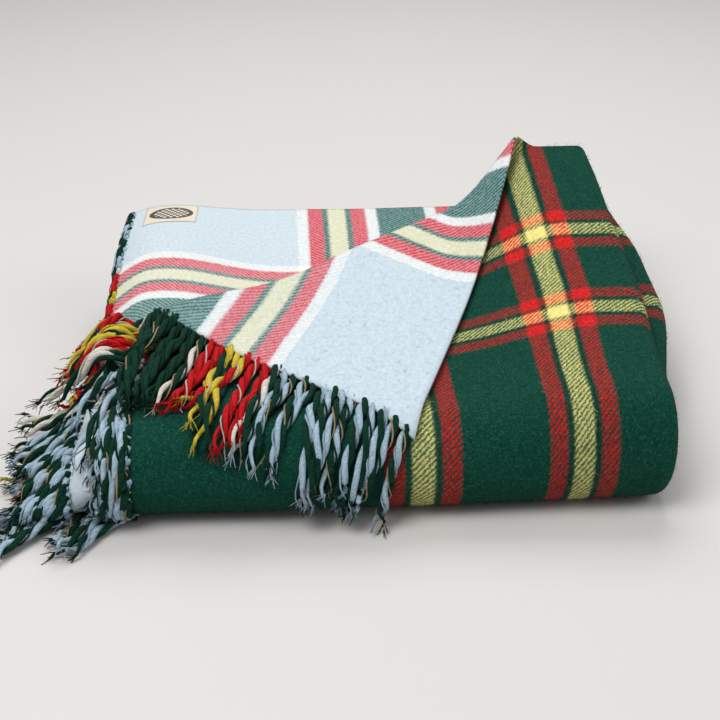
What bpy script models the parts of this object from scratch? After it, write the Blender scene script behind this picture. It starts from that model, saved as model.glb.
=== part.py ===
"""Travel rug, folded: one double-faced tartan cloth, two fringes and a sewn label.

The cloth is modelled flat, at its cut size, and then folded with one function:

  flat rug (u along the warp, v across it, w through it)
    -> the back left corner is turned over onto the top
    -> the length is folded into four layers, both fringed ends at the left
    -> the width is folded into three passes: top, round the front, bottom, and
       a last pass tucked inside
    -> the stack settles, higher towards the right and the back

Every piece goes through the same function, so layers never cross.
Metres, +Z up, +X to the right, the front towards -Y, resting on Z = 0.
"""

from math import cos, exp, hypot, pi, sin

import bmesh
import bpy
from mathutils import Vector

# ---- the cloth -----------------------------------------------------------------
CLOTH_T = 0.003            # thickness with its brushed nap
LAYER_PITCH = 0.0075       # from one layer of the folded stack to the next
GAP = 0.0003               # between the pieces

# ---- the length, folded in four (x positions) ----------------------------------
TOP_END_X = -0.192         # fringed end of the outer layer
UNDER_END_X = -0.240       # fringed end of the layer under it, which sticks out
TURN_LEFT_X = -0.165       # middle fold, inside the stack
TURN_RIGHT_X = 0.233       # where both layers turn at the right end
R_OUTER = 1.5 * LAYER_PITCH
R_INNER = 0.5 * LAYER_PITCH

# ---- the width, folded in three (y positions) ----------------------------------
SELVEDGE_Y = 0.200         # selvedge of the top pass, at the back
FRONT_Y = -0.205           # where the top pass starts to roll over the front
BACK_Y = 0.178             # where the bottom pass turns up at the back
TUCKED_Y = -0.170          # selvedge of the pass tucked inside
R_FRONT = 0.030            # inside radius of the front roll
R_BACK = 0.015             # inside radius of the back turn
Z_BOTTOM = CLOTH_T / 2 + R_OUTER
Z_TUCKED = Z_BOTTOM + 2 * R_BACK
Z_TOP = Z_BOTTOM + 2 * R_FRONT
PULL_FRONT = 0.012            # how far the front roll's right end is pulled in
PULL_BACK = 0.018             # how far the fringed ends are pulled in at the back
BULGE_BOTTOM = 0.006          # how far the right ends of the lower passes stand out
BULGE_TUCKED = 0.034
BULGE_BACK = 0.022            # the same for the tucked pass at the back turn

# ---- the turned corner ---------------------------------------------------------
EAR_V = 0.266              # fold line, on the fringed end
EAR_U = 0.384              # fold line, on the selvedge
EAR_TIP = (0.230, 0.466)   # where the corner comes to lie, in u and v
EAR_R = 0.007              # radius of its fold
EAR_LIFT = 0.0075          # height of the turned corner over the top layer
TIP_TURN_R = 0.012         # where the hanging fringe turns out onto the table
TIP_REST_Z = 0.0045

# ---- fringe and label ----------------------------------------------------------
FRINGE_L = 0.088
FRINGE_HEAD = 0.008
TOOTH_FILL = 0.72          # share of the comb's pitch that is tooth
TOOTH_STEPS = 5
FRINGE_T = 0.0026
LABEL_SIZE = (0.062, 0.046)
LABEL_INSET = (0.016, 0.005)  # from the fringed end and from the selvedge
LABEL_T = 0.0008

# ---- how finely the flat cloth is divided --------------------------------------
STEP_TOP = 0.036
STEP_HIDDEN = 0.078
STEPS_FRONT = 7
STEPS_BACK = 5

COLOURS = {
    "rug_cloth": (0.02, 0.17, 0.12),
    "fringe_top": (0.28, 0.38, 0.40),
    "fringe_under": (0.30, 0.36, 0.38),
    "label": (0.72, 0.66, 0.55),
}

# ---- lengths of the runs, measured on the flat cloth ---------------------------
U_RUNS = (
    TURN_RIGHT_X - TOP_END_X,
    pi * R_OUTER,
    TURN_RIGHT_X - TURN_LEFT_X,
    pi * R_INNER,
    TURN_RIGHT_X - TURN_LEFT_X,
    pi * R_INNER,
    TURN_RIGHT_X - UNDER_END_X,
)
V_RUNS = (
    SELVEDGE_Y - FRONT_Y,
    pi * (R_FRONT + R_OUTER),
    BACK_Y - FRONT_Y,
    pi * (R_BACK + R_OUTER),
    BACK_Y - TUCKED_Y,
)
RUG_LENGTH = sum(U_RUNS)
RUG_WIDTH = sum(V_RUNS)
LABEL_U = RUG_LENGTH - LABEL_INSET[0] - LABEL_SIZE[0]


def smooth(t):
    t = min(max(t, 0.0), 1.0)
    return t * t * (3 - 2 * t)


def mound(x, y, cx, cy, sx, sy):
    return exp(-((x - cx) / sx) ** 2 - ((y - cy) / sy) ** 2)


def run_of(length, runs):
    """Which run a flat length falls in, and how far along that run."""
    for index, run in enumerate(runs[:-1]):
        if length <= run:
            return index, length
        length -= run
    return len(runs) - 1, length


class Corner:
    """The fold line of the turned corner, and where the corner's points go."""

    span = hypot(EAR_V, EAR_U)
    n = Vector((-EAR_V / span, -EAR_U / span))
    t = Vector((-n.y, n.x))
    reach = -EAR_U * n.x
    tip = Vector((EAR_TIP[0] - EAR_U, EAR_TIP[1]))
    stretch = -tip.dot(n) / reach
    shear = (tip.dot(t) + EAR_U * t.x) / reach

    @classmethod
    def flat(cls, q, t):
        return cls.n * q + cls.t * t + Vector((EAR_U, 0))


def turn_corner(u, v, w):
    """Fold the corner over. Returns u, v, height over the layer, and if it turned."""
    edge = Vector((max(u, 0.0) - EAR_U, v))
    q = edge.dot(Corner.n)
    t = edge.dot(Corner.t)
    if q <= 0:
        return u, v, w, False
    angle = min(q / EAR_R, pi)
    beyond = max(q - pi * EAR_R, 0.0)
    height = EAR_R - (EAR_R - w) * cos(angle)
    across = (EAR_R - w) * sin(angle)
    if beyond > 0:
        height = EAR_LIFT + (2 * EAR_R - EAR_LIFT) * exp(-beyond / 0.06) - w
        across = -beyond * Corner.stretch
        t += beyond * Corner.shear
    place = Corner.flat(across, t)
    if u < 0:
        # the fringe swings from straight out to the turned corner's own direction
        out = Vector((u * Corner.n.x, u * Corner.t.x))
        turned = Corner.n * (-out.x * Corner.stretch)
        turned += Corner.t * (out.y + out.x * Corner.shear)
        place += Vector((u, 0)).lerp(turned, angle / pi)
    return place.x, place.y, height, True


def fold_length(u, w):
    """x, and height from the middle of the four layers."""
    run, s = run_of(u, U_RUNS)
    if run == 0:
        return TOP_END_X + s, R_OUTER + w
    if run == 1:
        angle = s / R_OUTER
        return TURN_RIGHT_X + (R_OUTER + w) * sin(angle), (R_OUTER + w) * cos(angle)
    if run == 2:
        return TURN_RIGHT_X - s, -R_OUTER - w
    if run == 3:
        angle = s / R_INNER
        middle = -(R_OUTER + R_INNER) / 2
        return TURN_LEFT_X - (R_INNER + w) * sin(angle), middle - (R_INNER + w) * cos(angle)
    if run == 4:
        return TURN_LEFT_X + s, -R_INNER + w
    if run == 5:
        angle = s / R_INNER
        return TURN_RIGHT_X + (R_INNER - w) * sin(angle), -(R_INNER - w) * cos(angle)
    return TURN_RIGHT_X - s, R_INNER - w


def reach_of(name, y):
    """Extra reach to the right of one pass across the width."""
    if name == "top":
        return -PULL_FRONT * smooth((-0.03 - y) / 0.17)
    if name == "bottom":
        return -PULL_FRONT + (PULL_FRONT + BULGE_BOTTOM) * smooth((y + 0.20) / 0.10)
    return (BULGE_TUCKED * smooth((y + 0.19) / 0.20)
            - (BULGE_TUCKED - BULGE_BACK) * smooth((y - 0.08) / 0.12))


def fold_width(v, h):
    """y, z and the pass's extra reach to the right."""
    run, s = run_of(v, V_RUNS)
    if run == 0:
        y = SELVEDGE_Y - s
        return y, Z_TOP + h, reach_of("top", y)
    if run == 1:
        part = s / V_RUNS[1]
        middle = (Z_TOP + Z_BOTTOM) / 2
        return (FRONT_Y - (R_FRONT + h) * sin(pi * part),
                middle + (R_FRONT + h) * cos(pi * part), -PULL_FRONT)
    if run == 2:
        y = FRONT_Y + s
        return y, Z_BOTTOM - h, reach_of("bottom", y)
    if run == 3:
        part = s / V_RUNS[3]
        middle = (Z_TUCKED + Z_BOTTOM) / 2
        first, last = reach_of("bottom", BACK_Y), reach_of("tucked", BACK_Y)
        return (BACK_Y + (R_BACK + h) * sin(pi * part),
                middle - (R_BACK + h) * cos(pi * part),
                first + (last - first) * smooth(part))
    y = BACK_Y - s
    return y, Z_TUCKED + h, reach_of("tucked", y)


def hang_front(v, h):
    """The turned corner over the front: down the face, then out onto the table."""
    upright = V_RUNS[0] + V_RUNS[1] / 2
    if v <= upright:
        return fold_width(v, h)
    rise = h - R_OUTER - EAR_LIFT
    face_y = FRONT_Y - R_FRONT - R_OUTER - EAR_LIFT
    drop = v - upright
    straight = (Z_TOP + Z_BOTTOM) / 2 - TIP_REST_Z - TIP_TURN_R
    if drop <= straight:
        return face_y - rise, (Z_TOP + Z_BOTTOM) / 2 - drop, 0.0
    turn_y = face_y - TIP_TURN_R
    angle = (drop - straight) / TIP_TURN_R
    radius = TIP_TURN_R - rise
    if angle <= pi / 2:
        return turn_y + radius * cos(angle), TIP_REST_Z + TIP_TURN_R - radius * sin(angle), 0.0
    along = (angle - pi / 2) * TIP_TURN_R
    return turn_y - along, TIP_REST_Z + rise, 0.0


def settle(x, y):
    """How much the stack's heights grow or shrink at one place."""
    back = y + 0.07
    start = 0.050 + 0.20 * back
    width = 0.150 - 0.26 * back
    amount = 0.38 + 1.0 * back
    scale = 0.95 + 0.22 * smooth((y + 0.06) / 0.26) + amount * smooth((x - start) / width)
    scale += 0.20 * mound(x, y, -0.175, 0.08, 0.06, 0.15)
    scale -= 0.07 * mound(x, y, -0.07, 0.04, 0.08, 0.09)
    past_end = max(-0.190 - x, 0.0) / 0.095
    limp = 2.34 * (1 - 0.80 * smooth((y + 0.08) / 0.26))
    return scale, 1 / (1 + limp * past_end ** 2)


def folded(u, v, w):
    """A point of the flat rug, moved to where it lies."""
    place = fold_stack(u, v, 0.0)
    scale, droop = settle(place.x, min(max(place.y, -0.21), 0.23))
    return fold_stack(u, v, w / max(scale * droop, 1.0))


def fold_stack(u, v, w):
    u, v, w, turned = turn_corner(u, v, w)
    x, h = fold_length(u, w)
    y, z, reach = hang_front(v, h) if turned else fold_width(v, h)
    x += reach * smooth((x - 0.08) / 0.15)
    x += PULL_BACK * smooth((-0.10 - x) / 0.13) * max(y - FRONT_Y, 0) / (BACK_Y - FRONT_Y)
    scale, droop = settle(x, min(max(y, -0.21), 0.23))
    return Vector((x, y, z * scale * droop))


def stations(runs, steps):
    """Flat positions of the grid lines: each run divided evenly."""
    lines = [0.0]
    for run, count in zip(runs, steps):
        start = lines[-1]
        lines += [start + run * (i + 1) / count for i in range(count)]
    return lines


def u_lines():
    top = round(U_RUNS[0] / STEP_TOP)
    hidden = round(U_RUNS[2] / STEP_HIDDEN)
    under = round(U_RUNS[6] / (1.3 * STEP_TOP))
    lines = stations(U_RUNS, (top, 5, hidden, 3, hidden, 3, under))
    return sorted(lines + [LABEL_U + LABEL_SIZE[0] * i / 3 for i in range(4)])


def v_lines():
    top = round(V_RUNS[0] / STEP_TOP)
    bottom = round(V_RUNS[2] / STEP_HIDDEN)
    tucked = round(V_RUNS[4] / STEP_HIDDEN)
    lines = stations(V_RUNS, (top, STEPS_FRONT, bottom, STEPS_BACK, tucked))
    return sorted(lines + [LABEL_INSET[1], LABEL_INSET[1] + LABEL_SIZE[1]])


def grid_mesh(us, vs):
    """A flat grid with lines at the given places."""
    bm = bmesh.new()
    bmesh.ops.create_grid(bm, x_segments=len(us) - 1, y_segments=len(vs) - 1, size=0.5)
    for vert in bm.verts:
        column = round((vert.co.x + 0.5) * (len(us) - 1))
        row = round((vert.co.y + 0.5) * (len(vs) - 1))
        vert.co = Vector((us[column], vs[row], 0.0))
    return bm


def ear_reach(place):
    """How far a flat point lies beyond the corner's fold line."""
    return (place.xy - Vector((EAR_U, 0))).dot(Corner.n)


def corner_lines():
    """Lines across the flat corner, as a normal and a distance from the fold's end.

    Five run round its fold. Four run where, once turned, it bends over the front:
    there its v is a straight slope over the flat corner.
    """
    lines = [(Corner.n, pi * EAR_R * part / 4) for part in range(5)]
    slope = Corner.n * (Corner.shear * Corner.t.y - Corner.stretch * Corner.n.y)
    slope += Corner.t * Corner.t.y
    start = pi * EAR_R * (Corner.stretch * Corner.n.y - Corner.shear * Corner.t.y)
    for step in range(4):
        rise = V_RUNS[0] + V_RUNS[1] * step / STEPS_FRONT - start
        lines.append((slope, rise))
    return lines


def flat_cloth():
    bm = grid_mesh(u_lines(), v_lines())
    for normal, distance in corner_lines():
        point = Vector((EAR_U, 0)) + normal * (distance / normal.length_squared)
        faces = list(bm.faces)
        if normal is not Corner.n:
            faces = [f for f in faces if ear_reach(f.calc_center_median()) > pi * EAR_R]
        geom = set(faces)
        for face in faces:
            geom.update(face.verts)
            geom.update(face.edges)
        bmesh.ops.bisect_plane(bm, geom=list(geom), dist=1e-6,
                               plane_co=point.to_3d(), plane_no=normal.to_3d())
    bmesh.ops.triangulate(bm, faces=bm.faces, quad_method="FIXED")
    return bm


def fringe_rows(turned):
    """Places along the fringed end; the turned one follows its corner's lines too."""
    rows = v_lines()
    if turned:
        rows += [(distance + EAR_U * normal.x) / normal.y
                 for normal, distance in corner_lines()]
    rows = sorted(row for row in rows if row >= 0)
    return [row for row, after in zip(rows, rows[1:]) if after - row > 0.001] + rows[-1:]


def flat_comb(edge, outwards, rows):
    """The fringe as a comb: a narrow head along the edge, and a tooth for each step."""
    bm = bmesh.new()
    head = [edge + outwards * GAP, edge + outwards * FRINGE_HEAD]
    steps = [FRINGE_HEAD + (FRINGE_L - FRINGE_HEAD) * i / TOOTH_STEPS
             for i in range(TOOTH_STEPS + 1)]

    def strip(us, vs):
        corners = [[bm.verts.new((u, v, 0)) for v in vs] for u in us]
        for left, right in zip(corners, corners[1:]):
            for i in range(len(vs) - 1):
                bm.faces.new((left[i], right[i], right[i + 1], left[i + 1]))

    for low, high in zip(rows, rows[1:]):
        margin = (high - low) * (1 - TOOTH_FILL) / 2
        strip(head, (low, low + margin, high - margin, high))
        strip([edge + outwards * s for s in steps], (low + margin, high - margin))
    bmesh.ops.remove_doubles(bm, verts=bm.verts, dist=1e-6)
    bmesh.ops.recalc_face_normals(bm, faces=bm.faces)
    bmesh.ops.triangulate(bm, faces=bm.faces)
    return bm


def make_piece(name, bm, thickness, lift=0.0):
    """Thicken a flat piece, fold it, and give it its name and material."""
    mesh = bpy.data.meshes.new(name)
    for face in bm.faces:
        if face.normal.z < 0:
            face.normal_flip()
    bm.to_mesh(mesh)
    bm.free()
    flat = bpy.data.objects.new(name + "_flat", mesh)
    bpy.context.scene.collection.objects.link(flat)
    shell = flat.modifiers.new("Thickness", "SOLIDIFY")
    shell.thickness = thickness
    shell.offset = 0.0
    depsgraph = bpy.context.evaluated_depsgraph_get()
    solid = bpy.data.meshes.new_from_object(flat.evaluated_get(depsgraph))
    bpy.data.objects.remove(flat)
    for vert in solid.vertices:
        vert.co = folded(vert.co.x, vert.co.y, vert.co.z + lift)
    solid.flip_normals()       # v runs towards -Y, so folding mirrors the faces
    solid.name = name
    material = bpy.data.materials.new(name)
    material.use_nodes = True
    shader = material.node_tree.nodes["Principled BSDF"]
    shader.inputs["Base Color"].default_value = (*COLOURS[name], 1)
    shader.inputs["Roughness"].default_value = 0.9
    shader.inputs["Metallic"].default_value = 0.0
    solid.materials.clear()
    solid.materials.append(material)
    return bpy.data.objects.new(name, solid)


def flat_label():
    """The label, divided along the cloth's own lines so that it lies level on it."""
    near = 1e-6
    us = [u for u in u_lines() if LABEL_U - near < u < LABEL_U + LABEL_SIZE[0] + near]
    vs = [v for v in v_lines() if LABEL_INSET[1] - near < v < LABEL_INSET[1] + LABEL_SIZE[1] + near]
    bm = grid_mesh(us, vs)
    bmesh.ops.triangulate(bm, faces=bm.faces, quad_method="FIXED")
    return bm


def centre(objects):
    """Put the origin under the middle of the whole outline."""
    points = [v.co for obj in objects for v in obj.data.vertices]
    low = Vector(min(p[i] for p in points) for i in range(3))
    high = Vector(max(p[i] for p in points) for i in range(3))
    shift = Vector((-(low.x + high.x) / 2, -(low.y + high.y) / 2, -low.z))
    for obj in objects:
        for vert in obj.data.vertices:
            vert.co += shift


def main():
    for obj in list(bpy.data.objects):
        bpy.data.objects.remove(obj)
    collection = bpy.data.collections.new("Travel rug")
    bpy.context.scene.collection.children.link(collection)
    pieces = [
        make_piece("rug_cloth", flat_cloth(), CLOTH_T),
        make_piece("fringe_top", flat_comb(0.0, -1, fringe_rows(True)), FRINGE_T),
        make_piece("fringe_under", flat_comb(RUG_LENGTH, 1, fringe_rows(False)), FRINGE_T),
        make_piece("label", flat_label(), LABEL_T,
                   lift=-(CLOTH_T / 2 + GAP + LABEL_T / 2)),
    ]
    centre(pieces)
    for piece in pieces:
        collection.objects.link(piece)


main()
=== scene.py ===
"""Looks of the folded travel rug: brushed double-faced tartan, twisted fringes, label.

The cloth is one thin sheet, folded from its flat size by the same folds as the
frame's own cloth. Its tartan is charted in millimetres on the flat cloth, so the
stripes run true through every fold. The tassels are twisted pairs of yarns that take
their colours from the warp they continue.
"""

from math import cos, hypot, pi, radians, sin

import bpy
import numpy as np
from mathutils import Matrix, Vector


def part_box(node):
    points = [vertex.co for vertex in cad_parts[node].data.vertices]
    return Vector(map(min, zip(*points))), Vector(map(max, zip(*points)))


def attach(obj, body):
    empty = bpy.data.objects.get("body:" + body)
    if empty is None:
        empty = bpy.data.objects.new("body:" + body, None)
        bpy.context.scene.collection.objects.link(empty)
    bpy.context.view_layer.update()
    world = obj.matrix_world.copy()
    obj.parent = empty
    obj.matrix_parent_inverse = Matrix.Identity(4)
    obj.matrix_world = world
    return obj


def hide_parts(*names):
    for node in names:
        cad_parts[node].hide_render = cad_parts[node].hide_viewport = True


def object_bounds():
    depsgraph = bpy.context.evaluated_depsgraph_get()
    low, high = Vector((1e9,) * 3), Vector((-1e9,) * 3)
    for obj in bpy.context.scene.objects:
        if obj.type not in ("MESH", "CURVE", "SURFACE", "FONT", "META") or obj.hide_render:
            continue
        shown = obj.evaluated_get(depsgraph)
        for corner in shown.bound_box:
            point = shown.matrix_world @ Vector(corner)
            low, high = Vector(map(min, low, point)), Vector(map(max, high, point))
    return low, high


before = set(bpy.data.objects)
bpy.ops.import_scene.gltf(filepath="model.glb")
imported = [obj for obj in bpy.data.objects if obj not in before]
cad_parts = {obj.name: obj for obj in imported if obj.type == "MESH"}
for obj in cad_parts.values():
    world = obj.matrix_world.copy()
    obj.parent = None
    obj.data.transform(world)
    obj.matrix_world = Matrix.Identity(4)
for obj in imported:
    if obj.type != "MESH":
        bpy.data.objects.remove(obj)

bl_info = {
    "name": "Folded Travel Rug",
    "version": (1, 0, 0),
    "blender": (4, 5, 0),
    "location": "View3D > Sidebar > Travel Rug",
    "description": "Builds a folded tartan travel rug with twisted fringes and its studio",
    "category": "Object",
}

CAD_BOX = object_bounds()
BODY = "root"
MM = 0.001

# ---- folds, in metres, as in the frame's own cloth ------------------------------
CLOTH_T = 0.003
LAYER_PITCH = 0.0075
TOP_END_X = -0.192
UNDER_END_X = -0.240
TURN_LEFT_X = -0.165
TURN_RIGHT_X = 0.233
R_OUTER = 1.5 * LAYER_PITCH
R_INNER = 0.5 * LAYER_PITCH
SELVEDGE_Y = 0.200
FRONT_Y = -0.205
BACK_Y = 0.178
TUCKED_Y = -0.170
R_FRONT = 0.030
R_BACK = 0.015
Z_BOTTOM = CLOTH_T / 2 + R_OUTER
Z_TUCKED = Z_BOTTOM + 2 * R_BACK
Z_TOP = Z_BOTTOM + 2 * R_FRONT
PULL_FRONT = 0.012
PULL_BACK = 0.018
BULGE_BOTTOM = 0.006
BULGE_TUCKED = 0.034
BULGE_BACK = 0.022
EAR_V = 0.266
EAR_U = 0.384
EAR_TIP = (0.230, 0.466)
EAR_R = 0.007
EAR_LIFT = 0.0075
TIP_TURN_R = 0.012
TIP_REST_Z = 0.0045
LABEL_SIZE = (0.062, 0.046)
LABEL_INSET = (0.016, 0.005)
# heights from the cloth's middle: the frame's label, and the label that shows
LABEL_FRAME_W = -0.0019
LABEL_W = -0.0018

U_RUNS = (
    TURN_RIGHT_X - TOP_END_X,
    pi * R_OUTER,
    TURN_RIGHT_X - TURN_LEFT_X,
    pi * R_INNER,
    TURN_RIGHT_X - TURN_LEFT_X,
    pi * R_INNER,
    TURN_RIGHT_X - UNDER_END_X,
)
V_RUNS = (
    SELVEDGE_Y - FRONT_Y,
    pi * (R_FRONT + R_OUTER),
    BACK_Y - FRONT_Y,
    pi * (R_BACK + R_OUTER),
    BACK_Y - TUCKED_Y,
)
RUG_LENGTH = sum(U_RUNS)
RUG_WIDTH = sum(V_RUNS)

# ---- the tartan, in millimetres across each stripe ------------------------------
# One pair of bands and the gap between them; the ground fills the rest.
BAND = (("white", 11), ("red", 15), ("thin", 6), ("yellow", 17.5), ("thin", 6),
        ("red", 15), ("white", 11))
PAIR = BAND + (("gap", 50),) + BAND
FIRST_BAND = {"weft": 186, "warp": 118}      # from the fringed end, from the selvedge
PAIRS = {"weft": 4, "warp": 3}

# The colour property of each stripe. On the face, the ground's green also fills the gap
# and the white stripes.
FACE_STRIPES = {"ground": "face_ground", "gap": "face_ground", "white": "face_ground",
                "thin": "face_thin", "red": "face_red", "yellow": "face_yellow"}
REVERSE_STRIPES = {stripe: f"reverse_{stripe}" for stripe in FACE_STRIPES}


def linear(colour):
    """An sRGB hex colour as linear RGBA."""
    parts = [int(colour[i:i + 2], 16) / 255 for i in (1, 3, 5)]
    return tuple(c / 12.92 if c <= 0.04045 else ((c + 0.055) / 1.055) ** 2.4
                 for c in parts) + (1.0,)


def side_length(across):
    """The flat cloth's length across these stripes, in metres."""
    return RUG_LENGTH if across == "weft" else RUG_WIDTH


def stripes(across):
    """One repeat of the stripes as (name, start, end) in mm, and the repeat's length."""
    pair = sum(width for _, width in PAIR)
    spare = side_length(across) / MM - 2 * FIRST_BAND[across] - PAIRS[across] * pair
    ground = spare / (PAIRS[across] - 1)
    chart, at = [], 0.0
    for name, width in PAIR + (("ground", ground),):
        chart.append((name, at, at + width))
        at += width
    return chart, at


def stripe_at(across, place):
    """The stripe at a place on the flat cloth, in metres."""
    chart, repeat = stripes(across)
    offset = place / MM - FIRST_BAND[across]
    if offset < 0:
        return "ground"
    offset %= repeat
    return next(name for name, start, end in chart if start <= offset <= end)


# ---- folding --------------------------------------------------------------------
def smooth(t):
    """A soft step from 0 to 1."""
    t = np.clip(t, 0.0, 1.0)
    return t * t * (3 - 2 * t)


def mound(x, y, cx, cy, sx, sy):
    """A soft mound, 1 high at (cx, cy), that fades over sx and sy."""
    return np.exp(-((x - cx) / sx) ** 2 - ((y - cy) / sy) ** 2)


# The corner turns over a slanting line, and its tip lands at EAR_TIP: a little stretch and
# shear of the turned part stand for the way that soft cloth drags.
FOLD_N = np.array((-EAR_V, -EAR_U)) / hypot(EAR_V, EAR_U)
FOLD_T = np.array((-FOLD_N[1], FOLD_N[0]))
FOLD_REACH = -EAR_U * FOLD_N[0]
TIP = np.array((EAR_TIP[0] - EAR_U, EAR_TIP[1]))
FOLD_STRETCH = -TIP @ FOLD_N / FOLD_REACH
FOLD_SHEAR = (TIP @ FOLD_T + EAR_U * FOLD_T[0]) / FOLD_REACH


def turn_corner(u, v, w):
    """Fold the back left corner over, and swing its fringe with it."""
    du = np.maximum(u, 0.0) - EAR_U
    q = du * FOLD_N[0] + v * FOLD_N[1]
    t = du * FOLD_T[0] + v * FOLD_T[1]
    turned = q > 0
    angle = np.clip(q / EAR_R, 0, pi)
    beyond = np.maximum(q - pi * EAR_R, 0)
    height = np.where(beyond > 0,
                      EAR_LIFT + (2 * EAR_R - EAR_LIFT) * np.exp(-beyond / 0.06) - w,
                      EAR_R - (EAR_R - w) * np.cos(angle))
    across = np.where(beyond > 0, -beyond * FOLD_STRETCH, (EAR_R - w) * np.sin(angle))
    along = t + beyond * FOLD_SHEAR
    out_q = np.minimum(u, 0) * FOLD_N[0]
    out_t = np.minimum(u, 0) * FOLD_T[0]
    share = angle / pi
    across = across + out_q * (1 - share) - out_q * FOLD_STRETCH * share
    along = along + out_t + out_q * FOLD_SHEAR * share
    new_u = EAR_U + across * FOLD_N[0] + along * FOLD_T[0]
    new_v = across * FOLD_N[1] + along * FOLD_T[1]
    return (np.where(turned, new_u, u), np.where(turned, new_v, v),
            np.where(turned, height, w), turned)


def fold_length(u, w):
    """x, and height from the middle of the four layers."""
    ends = np.cumsum(U_RUNS)
    s = [u - end for end in (0.0, *ends[:-1])]
    turn = [s[1] / R_OUTER, s[3] / R_INNER, s[5] / R_INNER]
    here = [u <= end for end in ends[:-1]]
    middle = -(R_OUTER + R_INNER) / 2
    x = np.select(here, [
        TOP_END_X + s[0],
        TURN_RIGHT_X + (R_OUTER + w) * np.sin(turn[0]),
        TURN_RIGHT_X - s[2],
        TURN_LEFT_X - (R_INNER + w) * np.sin(turn[1]),
        TURN_LEFT_X + s[4],
        TURN_RIGHT_X + (R_INNER - w) * np.sin(turn[2]),
    ], TURN_RIGHT_X - s[6])
    h = np.select(here, [
        R_OUTER + w,
        (R_OUTER + w) * np.cos(turn[0]),
        -R_OUTER - w,
        middle - (R_INNER + w) * np.cos(turn[1]),
        -R_INNER + w,
        -(R_INNER - w) * np.cos(turn[2]),
    ], R_INNER - w)
    return x, h


def reach_of(name, y):
    """Extra reach to the right of one pass across the width."""
    if name == "top":
        return -PULL_FRONT * smooth((-0.03 - y) / 0.17)
    if name == "bottom":
        return -PULL_FRONT + (PULL_FRONT + BULGE_BOTTOM) * smooth((y + 0.20) / 0.10)
    return (BULGE_TUCKED * smooth((y + 0.19) / 0.20)
            - (BULGE_TUCKED - BULGE_BACK) * smooth((y - 0.08) / 0.12))


def fold_width(v, h, turned):
    """y, z and the pass's extra reach to the right."""
    ends = np.cumsum(V_RUNS)
    s = [v - end for end in (0.0, *ends[:-1])]
    front = pi * s[1] / V_RUNS[1]
    back = pi * s[3] / V_RUNS[3]
    middle_front = (Z_TOP + Z_BOTTOM) / 2
    middle_back = (Z_TUCKED + Z_BOTTOM) / 2
    here = [v <= end for end in ends[:-1]]
    y = np.select(here, [
        SELVEDGE_Y - s[0],
        FRONT_Y - (R_FRONT + h) * np.sin(front),
        FRONT_Y + s[2],
        BACK_Y + (R_BACK + h) * np.sin(back),
    ], BACK_Y - s[4])
    z = np.select(here, [
        Z_TOP + h,
        middle_front + (R_FRONT + h) * np.cos(front),
        Z_BOTTOM - h,
        middle_back - (R_BACK + h) * np.cos(back),
    ], Z_TUCKED + h)
    first, last = reach_of("bottom", BACK_Y), reach_of("tucked", BACK_Y)
    reach = np.select(here, [
        reach_of("top", y),
        -PULL_FRONT + 0 * v,
        reach_of("bottom", y),
        first + (last - first) * smooth(back / pi),
    ], reach_of("tucked", y))
    # the turned corner hangs down the front, then turns out onto the table
    drop = v - V_RUNS[0] - V_RUNS[1] / 2
    hangs = turned & (drop > 0)
    rise = h - R_OUTER - EAR_LIFT
    face_y = FRONT_Y - R_FRONT - R_OUTER - EAR_LIFT
    straight = middle_front - TIP_REST_Z - TIP_TURN_R
    angle = np.maximum((drop - straight) / TIP_TURN_R, 0)
    bent = np.minimum(angle, pi / 2)
    radius = TIP_TURN_R - rise
    lying = np.maximum(angle - pi / 2, 0) * TIP_TURN_R
    hang_y = np.where(angle > 0, face_y - TIP_TURN_R + radius * np.cos(bent) - lying,
                      face_y - rise)
    hang_z = np.where(angle > 0, TIP_REST_Z + TIP_TURN_R - radius * np.sin(bent),
                      middle_front - drop)
    return (np.where(hangs, hang_y, y), np.where(hangs, hang_z, z),
            np.where(turned, 0.0, reach))


def settle(x, y):
    """How much the stack's heights grow or shrink at each place."""
    y = np.clip(y, -0.21, 0.23)
    back = y + 0.07
    start = 0.050 + 0.20 * back
    width = 0.150 - 0.26 * back
    amount = 0.38 + 1.0 * back
    scale = 0.95 + 0.22 * smooth((y + 0.06) / 0.26) + amount * smooth((x - start) / width)
    scale = scale + 0.20 * mound(x, y, -0.175, 0.08, 0.06, 0.15)
    scale = scale - 0.07 * mound(x, y, -0.07, 0.04, 0.08, 0.09)
    past_end = np.maximum(-0.190 - x, 0.0) / 0.095
    limp = 2.34 * (1 - 0.80 * smooth((y + 0.08) / 0.26))
    return scale, 1 / (1 + limp * past_end ** 2)


def folded(u, v, w):
    """Points of the flat rug, moved to where they lie in the frame."""
    u, v, w = np.broadcast_arrays(*(np.asarray(a, float) for a in (u, v, w)))
    u, v, w, turned = turn_corner(u, v, w)
    x, h = fold_length(u, w)
    y, z, reach = fold_width(v, h, turned)
    x = x + reach * smooth((x - 0.08) / 0.15)
    pulled = PULL_BACK * np.maximum(y - FRONT_Y, 0) / (BACK_Y - FRONT_Y)
    x = x + pulled * smooth((-0.10 - x) / 0.13)
    scale, droop = settle(x, y)
    return np.stack((x, y, z * scale * droop), -1) + SHIFT


# The frame's label shows where the folds' own origin lies in the frame.
SHIFT = np.zeros(3)
LABEL_LOW, LABEL_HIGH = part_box("label")
LABEL_CORNER = folded(RUG_LENGTH - LABEL_INSET[0], LABEL_INSET[1] + LABEL_SIZE[1],
                      LABEL_FRAME_W)
SHIFT[:2] = (LABEL_LOW[0] - LABEL_CORNER[0],
             LABEL_HIGH[1] - (SELVEDGE_Y - LABEL_INSET[1]))


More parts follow.
